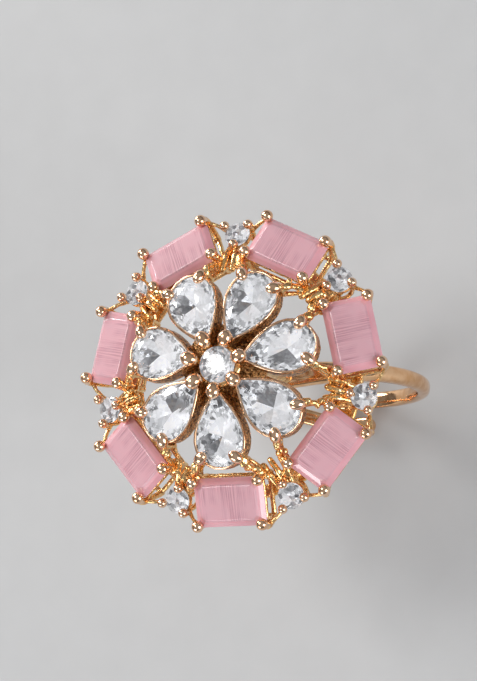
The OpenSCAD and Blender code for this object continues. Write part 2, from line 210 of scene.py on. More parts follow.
def skin_rows(bm, rows, closed):
    """Four-cornered faces from each row of corners to the next."""
    n = len(rows[0])
    pairs = list(zip(rows, rows[1:]))
    if closed:
        pairs.append((rows[-1], rows[0]))
    for a, b in pairs:
        for j in range(n):
            bm.faces.new((a[j], a[(j + 1) % n], b[(j + 1) % n], b[j]))


def add_tube(bm, path, sides=12, closed=False):
    """Tube of round section along (point, radius) pairs, with domed ends unless closed."""
    count = len(path)
    points = [p for p, _ in path]
    tangents = []
    for i in range(count):
        if closed:
            d = points[(i + 1) % count] - points[i - 1]
        else:
            d = points[min(i + 1, count - 1)] - points[max(i - 1, 0)]
        tangents.append(d.normalized())
    side = tangents[0].orthogonal().normalized()
    rings = []
    stations = []
    if not closed:
        p, r = path[0]
        for a in (60, 30):
            stations.append((p - tangents[0] * r * math.sin(math.radians(a)),
                             r * math.cos(math.radians(a)), tangents[0]))
    for (p, r), t in zip(path, tangents):
        stations.append((p, r, t))
    if not closed:
        p, r = path[-1]
        for a in (30, 60):
            stations.append((p + tangents[-1] * r * math.sin(math.radians(a)),
                             r * math.cos(math.radians(a)), tangents[-1]))
    for p, r, t in stations:
        side = (side - t * side.dot(t)).normalized()
        rings.append([bm.verts.new(q) for q in ring_round(p, side, t.cross(side), r, sides)])
    skin_rows(bm, rings, closed)
    if not closed:
        for ring, (p, r), t, way in ((rings[0], path[0], tangents[0], -1),
                                     (rings[-1], path[-1], tangents[-1], 1)):
            pole = bm.verts.new(p + t * r * way)
            for j in range(sides):
                a, b = ring[j], ring[(j + 1) % sides]
                bm.faces.new((a, b, pole) if way > 0 else (b, a, pole))


def mesh_from(bm, name):
    bmesh.ops.recalc_face_normals(bm, faces=bm.faces)
    mesh = bpy.data.meshes.new(name)
    bm.to_mesh(mesh)
    bm.free()
    return mesh


def add_loft(bm, rings, closed=False):
    """Skin over rings of points, with flat ends unless closed."""
    rows = [[bm.verts.new(p) for p in ring] for ring in rings]
    n = len(rows[0])
    skin_rows(bm, rows, closed)
    if not closed:
        for row in (rows[0], rows[-1]):
            middle = bm.verts.new(sum((v.co for v in row), Vector()) / n)
            for j in range(n):
                bm.faces.new((row[j], row[(j + 1) % n], middle))


def cast_mesh(name, tubes, grain=0.075, lump=0.024, seed=0, smooth_steps=4):
    """Lost-wax casting: wires melted into one skin, softened, then roughened."""
    bm = bmesh.new()
    for tube in tubes:
        add_tube(bm, tube["path"], closed=tube.get("closed", False))
    raw = mesh_from(bm, name + "_wax")
    wax = put_in_scene(name + "_wax", raw)
    melt = wax.modifiers.new("melt", "REMESH")
    melt.mode = "VOXEL"
    melt.voxel_size = grain
    soften = wax.modifiers.new("soften", "SMOOTH")
    soften.factor = 0.5
    soften.iterations = smooth_steps
    dg = bpy.context.evaluated_depsgraph_get()
    mesh = bpy.data.meshes.new_from_object(wax.evaluated_get(dg))
    bpy.data.objects.remove(wax)
    bpy.data.meshes.remove(raw)
    mesh.name = name
    roughen(mesh, lump, seed)
    return mesh


def roughen(mesh, lump, seed):
    """Moves a skin along its normals by coarse and fine noise."""
    shift = Vector((seed * 7.13, seed * 3.71, seed * 5.39))
    normals = [v.normal.copy() for v in mesh.vertices]
    for v, n in zip(mesh.vertices, normals):
        p = v.co + shift
        d = sum(noise.noise(p * size) * share for size, share in SKIN_NOISE)
        v.co += n * (d * lump)
    mesh.update()


def wire(*points):
    return {"path": spline(points)}


def lumps(points, count, jitter, size, seed):
    """Small beads of metal left along a path, as short rods for the casting."""
    draw = random.Random(seed)
    out = []
    for i in range(count):
        a = i / max(1, count - 1) * (len(points) - 1)
        j = min(int(a), len(points) - 2)
        p = Vector(points[j]).lerp(Vector(points[j + 1]), a - j)
        p += Vector([draw.uniform(-jitter, jitter) for _ in range(3)])
        way = Vector([draw.uniform(-1, 1) for _ in range(3)]).normalized() * LUMP_REACH
        r = draw.uniform(size * 0.75, size * 1.2)
        out.append({"path": [(p - way, r * 0.9), (p, r), (p + way, r * 0.85)]})
    return out


def loop(points, r):
    return {"path": [(Vector(p), r) for p in points], "closed": True}


def rounded_rectangle(a, b, corner, z, per_corner=5, per_side=8):
    """Points of a level rectangle with round corners, half sizes a and b."""
    out = []
    for cx, cy, start in ((a - corner, b - corner, 0), (corner - a, b - corner, 90),
                          (corner - a, corner - b, 180), (a - corner, corner - b, 270)):
        for i in range(per_corner):
            t = math.radians(start + 90 * i / (per_corner - 1))
            out.append(Vector((cx + corner * math.cos(t), cy + corner * math.sin(t), z)))
    dense = []
    for i, p in enumerate(out):
        q = out[(i + 1) % len(out)]
        steps = per_side if (q - p).length > corner else 1
        dense += [p.lerp(q, j / steps) for j in range(steps)]
    return dense


def bead_mesh(name, beads, rings=14, sides=20, neck_share=0.62):
    """Polished claw ends. Each bead: neck point, centre, radius, length along its lean."""
    bm = bmesh.new()
    for neck, centre, r, stretch in beads:
        neck, centre = Vector(neck), Vector(centre)
        axis = (centre - neck).normalized()
        side = axis.orthogonal().normalized()
        up = axis.cross(side)
        reach = (centre - neck).length
        start = neck_share * r * stretch
        foot = max(reach, start + 0.15 * r)
        profile = [(-mix(foot, start, i / 4), mix(neck_share, 0.76, ease(i / 4)) * r)
                   for i in range(4)]
        for i in range(rings):
            a = mix(math.radians(52), math.radians(172), i / (rings - 1))
            profile.append((-math.cos(a) * r * stretch, math.sin(a) * r))
        add_loft(bm, [ring_round(centre + axis * x, side, up, w, sides) for x, w in profile])
    return mesh_from(bm, name)


# ---------------------------------------------------------------- stones
def pear_point(t):
    """Upper half of the pear outline, tip at t = 0, round end at t = 1."""
    if t <= 0.5:
        return Vector((PETAL_WIDEST * 2 * t, PETAL_W / 2 * math.sin(math.pi * t)))
    a = math.pi * (t - 0.5)
    return Vector((PETAL_WIDEST + (PETAL_LEN - PETAL_WIDEST) * math.sin(a),
                   PETAL_W / 2 * math.cos(a)))


def pear_station(s):
    half = CUT_STATIONS // 2
    s %= CUT_STATIONS
    p = pear_point(s / half if s <= half else (CUT_STATIONS - s) / half)
    if s > half:
        p.y = -p.y
    return Vector((p.x - PETAL_CULET, p.y))


def round_station(d):
    def station(s):
        a = 2 * math.pi * s / CUT_STATIONS
        return Vector((d / 2 * math.cos(a), d / 2 * math.sin(a)))
    return station


def level_plane(c, g, t, p):
    """Height at p of the plane through c and g that runs level along t."""
    ux, uy = g.x - c.x, g.y - c.y
    det = ux * t.y - uy * t.x
    u = ((p.x - c.x) * t.y - (p.y - c.y) * t.x) / det
    return c.z + u * (g.z - c.z)


def facet_plane(a, b, c, p):
    n = (b - a).cross(c - a)
    return a.z - (n.x * (p.x - a.x) + n.y * (p.y - a.y)) / n.z


def brilliant_mesh(name, station, crown, pavilion, table=0.57, star=0.79, lower=0.24,
                   girdle=0.1, seed=0, shaded=0, dark_mains=2, broken=0.0):
    """Brilliant cut on any outline: eight mains, scalloped girdle, planar girdle facets.
    Each back facet carries its own painted reflection, dark or bright, and how far its light is
    broken up into painted sparkle; a run of mains from the shaded one has a dark painted
    reflection."""
    bm = bmesh.new()
    reflection_layer = bm.faces.layers.float.new("painted_reflection")
    sparkles = bm.faces.layers.float.new("sparkle")
    draw = random.Random(seed)
    mains, between = range(0, CUT_STATIONS, 2), range(1, CUT_STATIONS, 2)
    # painted reflections: a run of mains from the shaded one gets dark ones, the rest bright ones
    main_reflection = {}
    for i in mains:
        ahead = (i - shaded) % CUT_STATIONS // 2
        main_reflection[i] = draw.uniform(*(DARK_REFLECTION if ahead < dark_mains else BRIGHT_REFLECTION))
    keep = {}

    def vert(p):
        key = tuple(round(c, 5) for c in p)
        if key not in keep:
            keep[key] = bm.verts.new(p)
        return keep[key]

    def face(*pts, finish=0, painted_reflection=1.0, sparkle=0.0):
        vs = []
        for p in pts:
            v = vert(p)
            if v not in vs:
                vs.append(v)
        if len(vs) > 2:
            made = bm.faces.new(vs)
            made.material_index = finish
            made[reflection_layer] = painted_reflection
            made[sparkles] = sparkle

    def side_of(z_girdle, z_end, end_share, mid_share):
        """Corner points of the crown or the pavilion."""
        ends, mids = {}, {}
        g = {i: Vector((*station(i), z_girdle)) for i in range(CUT_STATIONS)}
        for i in mains:
            ends[i] = Vector((*(station(i) * end_share), z_end))
        for i in between:
            p = station(i) * mid_share
            heights = []
            for j in (i - 1, (i + 1) % CUT_STATIONS):
                t = station(j + 1) - station(j - 1)
                heights.append(level_plane(ends[j], g[j], t, p))
            mids[i] = Vector((p.x, p.y, sum(heights) / 2))
        return g, ends, mids

    top, table_pts, stars = side_of(girdle / 2, crown, table, star)
    low, culets, lowers = side_of(-girdle / 2, -pavilion, 0.0, lower)
    face(*[table_pts[i] for i in mains])
    rims = {}
    steps = 4
    for i in between:
        a, b = i - 1, (i + 1) % CUT_STATIONS
        face(table_pts[a], stars[i], table_pts[b])
        for j in (a, b):
            face(table_pts[j], top[j], stars[i])
            face(culets[j], lowers[i], low[j], finish=1, painted_reflection=main_reflection[j], sparkle=broken)
            far = i + (-1 if j == a else 1)
            for level, g, m in ((1, top, stars), (-1, low, lowers)):
                arc = []
                for q in range(steps + 1):
                    s = mix(i, far, q / steps)
                    p = station(s)
                    z = facet_plane(m[i], g[i], g[j], p) if 0 < q < steps else g[i].z
                    z = level * max(abs(z) if z * level > 0 else GIRDLE_LEAST, GIRDLE_LEAST)
                    arc.append(Vector((p.x, p.y, z)))
                fan_reflection = draw.uniform(*FAN_REFLECTION)
                for q in range(steps):
                    face(m[i], arc[q], arc[q + 1], finish=0 if level > 0 else 1, painted_reflection=fan_reflection,
                         sparkle=max(broken, 0.6))
                rims[(i, j, level)] = arc
            up, down = rims[(i, j, 1)], rims[(i, j, -1)]
            for q in range(steps):
                face(up[q], up[q + 1], down[q + 1], down[q])
    return mesh_from(bm, name)


def step_cut_mesh(name):
    """Rectangular step cut with clipped corners and softly worn edges."""
    bm = bmesh.new()
    rows = []
    for a, b, c, z in STEP_CUT:
        rows.append([bm.verts.new((x, y, z)) for x, y in (
            (a, b - c), (a - c, b), (c - a, b), (-a, b - c),
            (-a, c - b), (c - a, -b), (a - c, -b), (a, c - b))])
    skin_rows(bm, rows, closed=False)
    bm.faces.new(rows[0])
    bm.faces.new(rows[-1])
    bmesh.ops.recalc_face_normals(bm, faces=bm.faces)
    bmesh.ops.bevel(bm, geom=list(bm.edges), offset=0.055, segments=3, profile=0.5,
                    affect="EDGES", clamp_overlap=True)
    return mesh_from(bm, name)


# ---------------------------------------------------------------- finishes
FLOAT, VECTOR = "NodeSocketFloat", "NodeSocketVector"


def new_group(name, inputs, outputs):
    """Shader group; its inputs are (name, kind, value), its outputs (name, kind)."""
    group = bpy.data.node_groups.new(name, "ShaderNodeTree")
    for label, kind, value in inputs:
        item = group.interface.new_socket(label, in_out="INPUT", socket_type=kind)
        item.default_value = value
    for label, kind in outputs:
        group.interface.new_socket(label, in_out="OUTPUT", socket_type=kind)
    given = group.nodes.new("NodeGroupInput").outputs
    return group, given, group.nodes.new("NodeGroupOutput")


def node(tree, kind, links=(), **settings):
    """Adds a node; settings are its properties or, with a leading in_, its input values."""
    made = tree.nodes.new(kind)
    for key, value in settings.items():
        if key.startswith("in_"):
            label = key[3:].replace("_", " ")
            made.inputs[int(label) if label.isdigit() else label].default_value = value
        else:
            setattr(made, key, value)
    for source, label in links:
        tree.links.new(source, made.inputs[label])
    return made


def feed(tree, target, sources):
    """Links each named input of a node to the output that feeds it."""
    for label, source in sources.items():
        tree.links.new(source, target.inputs[label])


def set_values(target, values):
    for label, value in values.items():
        target.inputs[label].default_value = value


def use_group(tree, group, place, values):
    """Places a node group in a material with its own values."""
    made = node(tree, "ShaderNodeGroup", [(place, "Place")], node_tree=group)
    set_values(made, values)
    return made


def blended(tree, factor, first, second):
    """Colour between two, each of them three numbers or the output of a node."""
    made = node(tree, "ShaderNodeMix", data_type="RGBA")
    tree.links.new(factor, made.inputs["Factor"])
    for socket, colour in ((made.inputs[6], first), (made.inputs[7], second)):
        if isinstance(colour, tuple):
            socket.default_value = (*colour, 1)
        else:
            tree.links.new(colour, socket)
    return made.outputs[2]


def build_cast_skin():
    """As-cast metal: grain, shallow pits and dull patches over the surface."""
    group, given, out = new_group(
        "cast skin",
        [("Place", VECTOR, (0, 0, 0)), ("Grain size", FLOAT, 9000.0),
         ("Patch size", FLOAT, 1400.0), ("Dull", FLOAT, 0.34), ("Bright", FLOAT, 0.14)],
        [("Patch", FLOAT), ("Roughness", FLOAT), ("Height", FLOAT)])
    grain = node(group, "ShaderNodeTexNoise",
                 [(given["Place"], "Vector"), (given["Grain size"], "Scale")],
                 in_Detail=3.0, in_Roughness=0.6)
    pits = node(group, "ShaderNodeTexVoronoi",
                [(given["Place"], "Vector"), (given["Grain size"], "Scale")])
    patch = node(group, "ShaderNodeTexNoise",
                 [(given["Place"], "Vector"), (given["Patch size"], "Scale")], in_Detail=2.0)
    height = node(group, "ShaderNodeMath",
                  [(grain.outputs["Fac"], 0), (pits.outputs["Distance"], 1)], operation="ADD")
    rough = node(group, "ShaderNodeMapRange",
                 [(grain.outputs["Fac"], "Value"), (given["Bright"], "To Min"),
                  (given["Dull"], "To Max")],
                 in_From_Min=0.35, in_From_Max=0.65)
    feed(group, out, {"Patch": patch.outputs["Fac"], "Roughness": rough.outputs["Result"],
                      "Height": height.outputs["Value"]})
    return group


def build_polish_wear():
    """Polished metal: faint scuffs, a soft unevenness and tarnish in patches."""
    group, given, out = new_group(
        "polish wear",
        [("Place", VECTOR, (0, 0, 0)), ("Scuff size", FLOAT, 5200.0), ("Worn", FLOAT, 0.2),
         ("Clean", FLOAT, 0.07)],
        [("Patch", FLOAT), ("Roughness", FLOAT), ("Height", FLOAT)])
    scuff = node(group, "ShaderNodeTexNoise",
                 [(given["Place"], "Vector"), (given["Scuff size"], "Scale")],
                 in_Detail=4.0, in_Roughness=0.65, in_Distortion=0.6)
    swell = node(group, "ShaderNodeTexNoise",
                 [(given["Place"], "Vector")], in_Scale=1600.0, in_Detail=1.0)
    rough = node(group, "ShaderNodeMapRange",
                 [(scuff.outputs["Fac"], "Value"), (given["Clean"], "To Min"),
                  (given["Worn"], "To Max")],
                 in_From_Min=0.4, in_From_Max=0.75)
    height = node(group, "ShaderNodeMath",
                  [(swell.outputs["Fac"], 0), (scuff.outputs["Fac"], 1)],
                  operation="MULTIPLY_ADD", in_2=0.2)
    feed(group, out, {"Patch": swell.outputs["Fac"], "Roughness": rough.outputs["Result"],
                      "Height": height.outputs["Value"]})
    return group


def build_silk():
    """Parallel fibres across a stone, strongest under its flat top."""
    group, given, out = new_group(
        "silk fibres",
        [("Place", VECTOR, (0, 0, 0)), ("Thread", FLOAT, 24000.0), ("Top", FLOAT, 0.00045)],
        [("Light", FLOAT), ("Table", FLOAT), ("Cloud", FLOAT), ("Roughness", FLOAT),
         ("Height", FLOAT)])
    run = node(group, "ShaderNodeMapping",
               [(given["Place"], "Vector")], in_Scale=(0.012, 1.0, 0.05))
    threads = node(group, "ShaderNodeTexNoise",
                   [(run.outputs["Vector"], "Vector"), (given["Thread"], "Scale")],
                   in_Detail=1.5, in_Roughness=0.7)
    cloud = node(group, "ShaderNodeTexNoise",
                 [(given["Place"], "Vector")], in_Scale=420.0, in_Detail=2.0)
    light = node(group, "ShaderNodeMapRange",
                 [(threads.outputs["Fac"], "Value")], in_From_Min=0.40, in_From_Max=0.58)
    parts = node(group, "ShaderNodeSeparateXYZ", [(given["Place"], "Vector")])
    table = node(group, "ShaderNodeMath",
                 [(parts.outputs["Z"], 0), (given["Top"], 1)], operation="GREATER_THAN")
    rough = node(group, "ShaderNodeMapRange",
                 [(threads.outputs["Fac"], "Value")],
                 in_From_Min=0.3, in_From_Max=0.7, in_To_Min=0.14, in_To_Max=0.26)
    feed(group, out, {"Light": light.outputs["Result"], "Table": table.outputs["Value"],
                      "Cloud": cloud.outputs["Fac"], "Roughness": rough.outputs["Result"],
                      "Height": threads.outputs["Fac"]})
    return group


def build_broken_light():
    """Small uneven facets: every cell leans its own way and has its own painted sparkle, a tone
    that stands in for the light it throws.
    """
    group, given, out = new_group(
        "broken light",
        [("Place", VECTOR, (0, 0, 0)), ("Cell size", FLOAT, 3400.0), ("Lean", FLOAT, 0.3),
         ("Spread", VECTOR, (400.0, 520.0, 0.0))],
        [("Painted sparkle", FLOAT), ("Edge", FLOAT), ("Normal", VECTOR)])
    cells = node(group, "ShaderNodeTexVoronoi",
                 [(given["Place"], "Vector"), (given["Cell size"], "Scale")])
    surface = node(group, "ShaderNodeNewGeometry")
    centred = node(group, "ShaderNodeVectorMath",
                   [(cells.outputs["Color"], 0)], operation="SUBTRACT", in_1=(0.5, 0.5, 0.5))
    spread = node(group, "ShaderNodeVectorMath",
                  [(given["Place"], 0), (given["Spread"], 1)], operation="MULTIPLY")
    reach = node(group, "ShaderNodeVectorMath",
                 [(spread.outputs["Vector"], 0)], operation="LENGTH")
    edge = node(group, "ShaderNodeMapRange",
                [(reach.outputs["Value"], "Value")],
                in_From_Min=0.5, in_From_Max=1.0, in_To_Min=0.1, in_To_Max=1.0)
    amount = node(group, "ShaderNodeMath",
                  [(edge.outputs["Result"], 0), (given["Lean"], 1)], operation="MULTIPLY")
    lean = node(group, "ShaderNodeVectorMath",
                [(centred.outputs["Vector"], 0), (amount.outputs["Value"], "Scale")],
                operation="SCALE")
    summed = node(group, "ShaderNodeVectorMath",
                  [(surface.outputs["Normal"], 0), (lean.outputs["Vector"], 1)], operation="ADD")
    unit = node(group, "ShaderNodeVectorMath",
                [(summed.outputs["Vector"], 0)], operation="NORMALIZE")
    cell = node(group, "ShaderNodeSeparateColor", [(cells.outputs["Color"], "Color")])
    # painted sparkle: a tone per cell, bright or dark
    painted_reflection = node(group, "ShaderNodeMapRange",
                [(cell.outputs["Green"], "Value")], in_From_Min=0.15, in_From_Max=0.75)
    feed(group, out, {"Painted sparkle": painted_reflection.outputs["Result"], "Edge": edge.outputs["Result"],
                      "Normal": unit.outputs["Vector"]})
    return group


def new_material(name):
    material = bpy.data.materials.new(name)
    material.use_nodes = True
    tree = material.node_tree
    tree.nodes.clear()
    out = tree.nodes.new("ShaderNodeOutputMaterial")
    shader = tree.nodes.new("ShaderNodeBsdfPrincipled")
    tree.links.new(shader.outputs["BSDF"], out.inputs["Surface"])
    place = tree.nodes.new("ShaderNodeTexCoord")
    return material, tree, shader, place.outputs["Object"]


def metal(name, skin, dark, light, values, bump_depth, bump_strength=1.0, hollow_shade=None):
    """Gold finish: colour between two shades by patch, roughness and grain from a skin.
    A hollow colour, where given, is painted into the hollows as painted shade."""
    material, tree, shader, place = new_material(name)
    shader.inputs["Metallic"].default_value = 1.0
    group = use_group(tree, skin, place, values)
    ramp = node(tree, "ShaderNodeMapRange",
                [(group.outputs["Patch"], "Value")], in_From_Min=0.35, in_From_Max=0.65)
    colour = blended(tree, ramp.outputs["Result"], dark, light)
    # painted shade: where pointiness is low, the colour is darkened towards the hollow colour
    if hollow_shade:
        surface = node(tree, "ShaderNodeNewGeometry")
        shade_mask = node(tree, "ShaderNodeMapRange",
                     [(surface.outputs["Pointiness"], "Value")],
                     in_From_Min=0.44, in_From_Max=0.52)
        colour = blended(tree, shade_mask.outputs["Result"], hollow_shade, colour)
    bump = node(tree, "ShaderNodeBump",
                [(group.outputs["Height"], "Height")],
                in_Distance=bump_depth, in_Strength=bump_strength)
    feed(tree, shader, {"Base Color": colour, "Roughness": group.outputs["Roughness"],
                        "Normal": bump.outputs["Normal"]})
    return material


def clear_material(name, wear):
    """Clear zirconia: near colourless glass with a trace of haze on the facets."""
    material, tree, shader, place = new_material(name)
    set_values(shader, {"Transmission Weight": 1.0, "IOR": 1.6})
    group = use_group(tree, wear, place, {"Scuff size": 3000.0, "Worn": 0.035, "Clean": 0.0})
    colour = blended(tree, group.outputs["Patch"], (0.97, 0.975, 0.985), (1.0, 0.995, 0.99))
    feed(tree, shader, {"Base Color": colour, "Roughness": group.outputs["Roughness"]})
    return material


def silvered_painted_material(name, broken):
    """Back of a clear stone: silvery mirror facets that throw the light back up, with painted
    reflections, dark or bright by facet and cell, that also glow as painted light.
    """
    material, tree, shader, place = new_material(name)
    # painted light: the back glows with its painted reflection colour, though it is no lamp
    shader.inputs["Emission Strength"].default_value = 0.4
    group = use_group(tree, broken, place, {})
    facet = node(tree, "ShaderNodeAttribute", attribute_name="painted_reflection")
    flaw = node(tree, "ShaderNodeAttribute", attribute_name="sparkle")
    break_up = node(tree, "ShaderNodeMath",
                    [(group.outputs["Edge"], 0), (flaw.outputs["Fac"], 1)], operation="MAXIMUM")
    painted_reflection = node(tree, "ShaderNodeMapRange",
                [(break_up.outputs["Value"], "Value"), (facet.outputs["Fac"], "To Min"),
                 (group.outputs["Painted sparkle"], "To Max")])
    # painted reflections: near black to near white by facet and sparkle cell, fed to the base
    # colour and the glow
    colour = blended(tree, painted_reflection.outputs["Result"], (0.09, 0.09, 0.095), (0.93, 0.94, 0.97))
    rough = node(tree, "ShaderNodeMapRange",
                 [(painted_reflection.outputs["Result"], "Value")], in_To_Min=0.04, in_To_Max=0.16)
    mirror = node(tree, "ShaderNodeMapRange",
                  [(painted_reflection.outputs["Result"], "Value")], in_To_Min=0.75, in_To_Max=0.12)
    feed(tree, shader, {"Base Color": colour, "Emission Color": colour,
                        "Metallic": mirror.outputs["Result"],
                        "Roughness": rough.outputs["Result"], "Normal": group.outputs["Normal"]})
    return material


def pink_material(name, silk):
    """Pink silk glass: milky body, threads across the short side, glossy skin."""
    material, tree, shader, place = new_material(name)
    set_values(shader, {"IOR": 1.52, "Subsurface Weight": 0.55,
                        "Subsurface Radius": (1.0, 0.55, 0.6), "Subsurface Scale": 0.0006,
                        "Coat Weight": 0.6, "Coat Roughness": 0.04})
    group = use_group(tree, silk, place, {})
    bevel = blended(tree, group.outputs["Cloud"], (0.64, 0.28, 0.325), (0.84, 0.47, 0.52))
    clear = node(tree, "ShaderNodeMapRange",
                 [(group.outputs["Cloud"], "Value"), (group.outputs["Light"], "To Min")],
                 in_From_Min=0.40, in_From_Max=0.64, in_To_Max=0.85)
    top = blended(tree, clear.outputs["Result"], (0.50, 0.255, 0.295), (0.73, 0.425, 0.475))
    colour = blended(tree, group.outputs["Table"], bevel, top)
    bump = node(tree, "ShaderNodeBump",
                [(group.outputs["Height"], "Height")], in_Distance=0.000004, in_Strength=0.6)
    feed(tree, shader, {"Base Color": colour, "Roughness": group.outputs["Roughness"],
                        "Normal": bump.outputs["Normal"]})
    return material


cast_skin, polish_wear, silk_fibres = build_cast_skin(), build_polish_wear(), build_silk()
# the last colour of the cast gold is painted shade in the hollows of the castings
CAST = metal("cast rose gold", cast_skin, (0.88, 0.45, 0.16), (1.0, 0.72, 0.36),
             {"Grain size": 4200.0, "Dull": 0.30, "Bright": 0.12}, 0.00002,
             hollow_shade=(0.16, 0.06, 0.015))
# unpolished, rougher gold for the recesses; its near-black colour, in patches, is painted shade
# where the cup walls and the plate lie in shade
RECESS = metal("unpolished gold with painted recess shade", cast_skin, (0.10, 0.04, 0.012), (0.92, 0.52, 0.22),
               {"Grain size": 6000.0, "Patch size": 4200.0, "Dull": 0.42, "Bright": 0.16}, 0.00012)
POLISHED = metal("polished rose gold", polish_wear, (0.82, 0.49, 0.29), (0.94, 0.65, 0.44),
                 {"Scuff size": 5200.0, "Worn": 0.22, "Clean": 0.07}, 0.00002, 0.5)
BAND_GOLD = metal("band rose gold", polish_wear, (0.80, 0.45, 0.22), (0.93, 0.59, 0.34),
                  {"Scuff size": 2600.0, "Worn": 0.17, "Clean": 0.06}, 0.00003, 0.5)
CLEAR = clear_material("clear zirconia", polish_wear)
SILVERED_PAINTED = silvered_painted_material("silvered stone back with painted reflections and glow", build_broken_light())
PINK = pink_material("pink silk glass", silk_fibres)

# ---------------------------------------------------------------- band and frame
HERE = Matrix.Identity(4)


def add_casting(name, tubes, matrix, cad_name, **wax):
    finish_piece(name, cast_mesh(name, tubes, **wax), matrix, [CAST], [cad_name])


def add_beads(name, beads, matrix):
    finish_piece(name, bead_mesh(name, beads), matrix, [POLISHED], [])


def add_clear_gem(name, gem, matrix, cad_name):
    finish_piece(name, gem, matrix, [CLEAR, SILVERED_PAINTED], [cad_name], smooth=False)


def band_section(theta):
    """Middle of the band at an angle round the finger: across place and half width."""
    x = (BAND_RI + BAND_RO) / 2 * math.cos(math.radians(theta))
    if theta < 0:
        y = mix(BAND_SIDE_Y[0], BAND_TIP_Y[0], ease((BAND_RO - x) / BAND_RO))
        return y, BAND_ARM_W / 2
    if theta > 180:
        t = (x - LEFT_TURN[0]) / (LEFT_TURN[1] - LEFT_TURN[0])
        return mix(BAND_SIDE_Y[1], BAND_TIP_Y[1], ease(t)), BAND_ARM_W / 2
    side = BAND_SIDE_Y[0] if x > 0 else BAND_SIDE_Y[1]
    share = ease(abs(x) / BAND_RO)
    return mix(BAND_LEAN, side, share), mix(BAND_TOP_W, BAND_ARM_W, share) / 2


def build_band():
    """Open band of D section, with rounded tips."""
    stations, sides, wave_size = 220, 32, 0.006
    middle_r = (BAND_RI + BAND_RO) / 2
    start = -90 - math.degrees(math.asin(-BAND_TIP_X[0] / middle_r))
    end = 270 + math.degrees(math.asin(BAND_TIP_X[1] / middle_r))
    cap = math.degrees(BAND_TIP_CAP / middle_r)
    angles = [start + cap * (1 - math.cos(math.radians(9 * i))) for i in range(1, 10)]
    angles += [mix(start + cap, end - cap, i / stations) for i in range(stations + 1)]
    angles += [end - cap * (1 - math.cos(math.radians(9 * i))) for i in range(9, 0, -1)]
    rings = []
    for theta in angles:
        y0, half = band_section(theta)
        gone = max(0.0, 1 - min(theta - start, end - theta) / cap)
        size = math.sqrt(max(0.0, 1 - gone * gone))
        ring = []
        for j in range(sides):
            a = 2 * math.pi * j / sides
            c, s = math.cos(a), math.sin(a)
            across = squared(c, 0.8) * half * size
            outward = BAND_RISE * abs(s) ** 0.85 if s > 0 else -BAND_DROP * abs(s) ** 0.45
            r = BAND_WIDEST_R + outward * mix(0.35, 1, size)
            wave = wave_size * noise.noise(Vector((theta * 0.05, j * 0.3, 0)))
            t = math.radians(theta)
            ring.append(Vector(((r + wave) * math.cos(t), y0 + across, (r + wave) * math.sin(t))))
        rings.append(ring)
    bm = bmesh.new()
    add_loft(bm, rings)
    finish_piece("band", mesh_from(bm, "band"), HERE, [BAND_GOLD], ["shank"])


def plate_top(r):
    bottom = PETAL_Z - CUP_DEPTH / math.cos(math.radians(PETAL_SLOPE))
    return bottom - (r - PETAL_R) * math.tan(math.radians(PETAL_SLOPE))


def build_plate():
    """Dished plate with softened edges and a lumpy cast face, darkened with painted shade."""
    edge = 0.12
    under = ((PLATE_RI, PLATE_RI, 0.1), (PLATE_RI + 0.1, PLATE_RI, 0), (2.0, 2.0, 0), (2.8, 2.8, 0),
             (PLATE_RO - 0.15, PLATE_RO, 0), (PLATE_RO, PLATE_RO, edge))
    over = ((PLATE_RO, PLATE_RO, -edge), (PLATE_RO - edge, PLATE_RO, 0), (2.8, 2.8, 0),
            (2.0, 2.0, 0), (PLATE_RI + 0.1, PLATE_RI, 0), (PLATE_RI, PLATE_RI, -0.1))
    outline = [(r, plate_top(slope_r) - PLATE_T + up) for r, slope_r, up in under]
    outline += [(r, plate_top(slope_r) + up) for r, slope_r, up in over]
    rings = []
    for i in range(96):
        a = 2 * math.pi * i / 96
        rings.append([Vector((r * math.cos(a), r * math.sin(a), z)) for r, z in outline])
    bm = bmesh.new()
    add_loft(bm, rings, closed=True)
    mesh = mesh_from(bm, "plate")
    roughen(mesh, 0.03, 2)
    finish_piece("petal_plate", mesh, HERE, [RECESS], ["cluster_plate"])


def build_gallery():
    """Flat ring with round edges under the rim baskets."""
    rings = []
    middle = GALLERY_TOP - GALLERY_T / 2
    for i in range(240):
        a = 2 * math.pi * i / 240
        ring = []
        for j in range(16):
            t = 2 * math.pi * j / 16
            c, s = math.cos(t), math.sin(t)
            r = GALLERY_R + squared(c, 0.7) * GALLERY_W / 2
            z = middle + squared(s, 0.7) * GALLERY_T / 2
            ring.append(Vector((r * math.cos(a), r * math.sin(a), z)))
        rings.append(ring)
    bm = bmesh.new()
    add_loft(bm, rings, closed=True)
    mesh = mesh_from(bm, "gallery")
    roughen(mesh, 0.03, 3)
    finish_piece("gallery", mesh, HERE, [CAST], ["gallery_ring"])


def build_post(x, name, cad_name, seed):
    """Post with a melted-in foot on the band and a flared head under the plate."""
    top = plate_top(POST_X) - PLATE_T
    foot = math.sqrt(BAND_RO ** 2 - x * x) - 0.35
    tubes = [wire(((x, BAND_LEAN, foot), 0.68), ((x, BAND_LEAN, foot + 0.7), 0.62),
                  ((x, BAND_LEAN, (foot + top) / 2), 0.56), ((x, BAND_LEAN, top - 0.5), 0.62),
                  ((x, BAND_LEAN, top - 0.1), 0.68))]
    add_casting(name, tubes, HERE, cad_name, seed=seed)


# ---------------------------------------------------------------- centre
def round_gem(name, width, drawn_width, **cut):
    """Round brilliant whose heights come from its nominal width."""
    return brilliant_mesh(name, round_station(drawn_width), ROUND_CROWN * width + ROUND_EXTRA,
                          ROUND_BACK * width + ROUND_EXTRA, **cut)


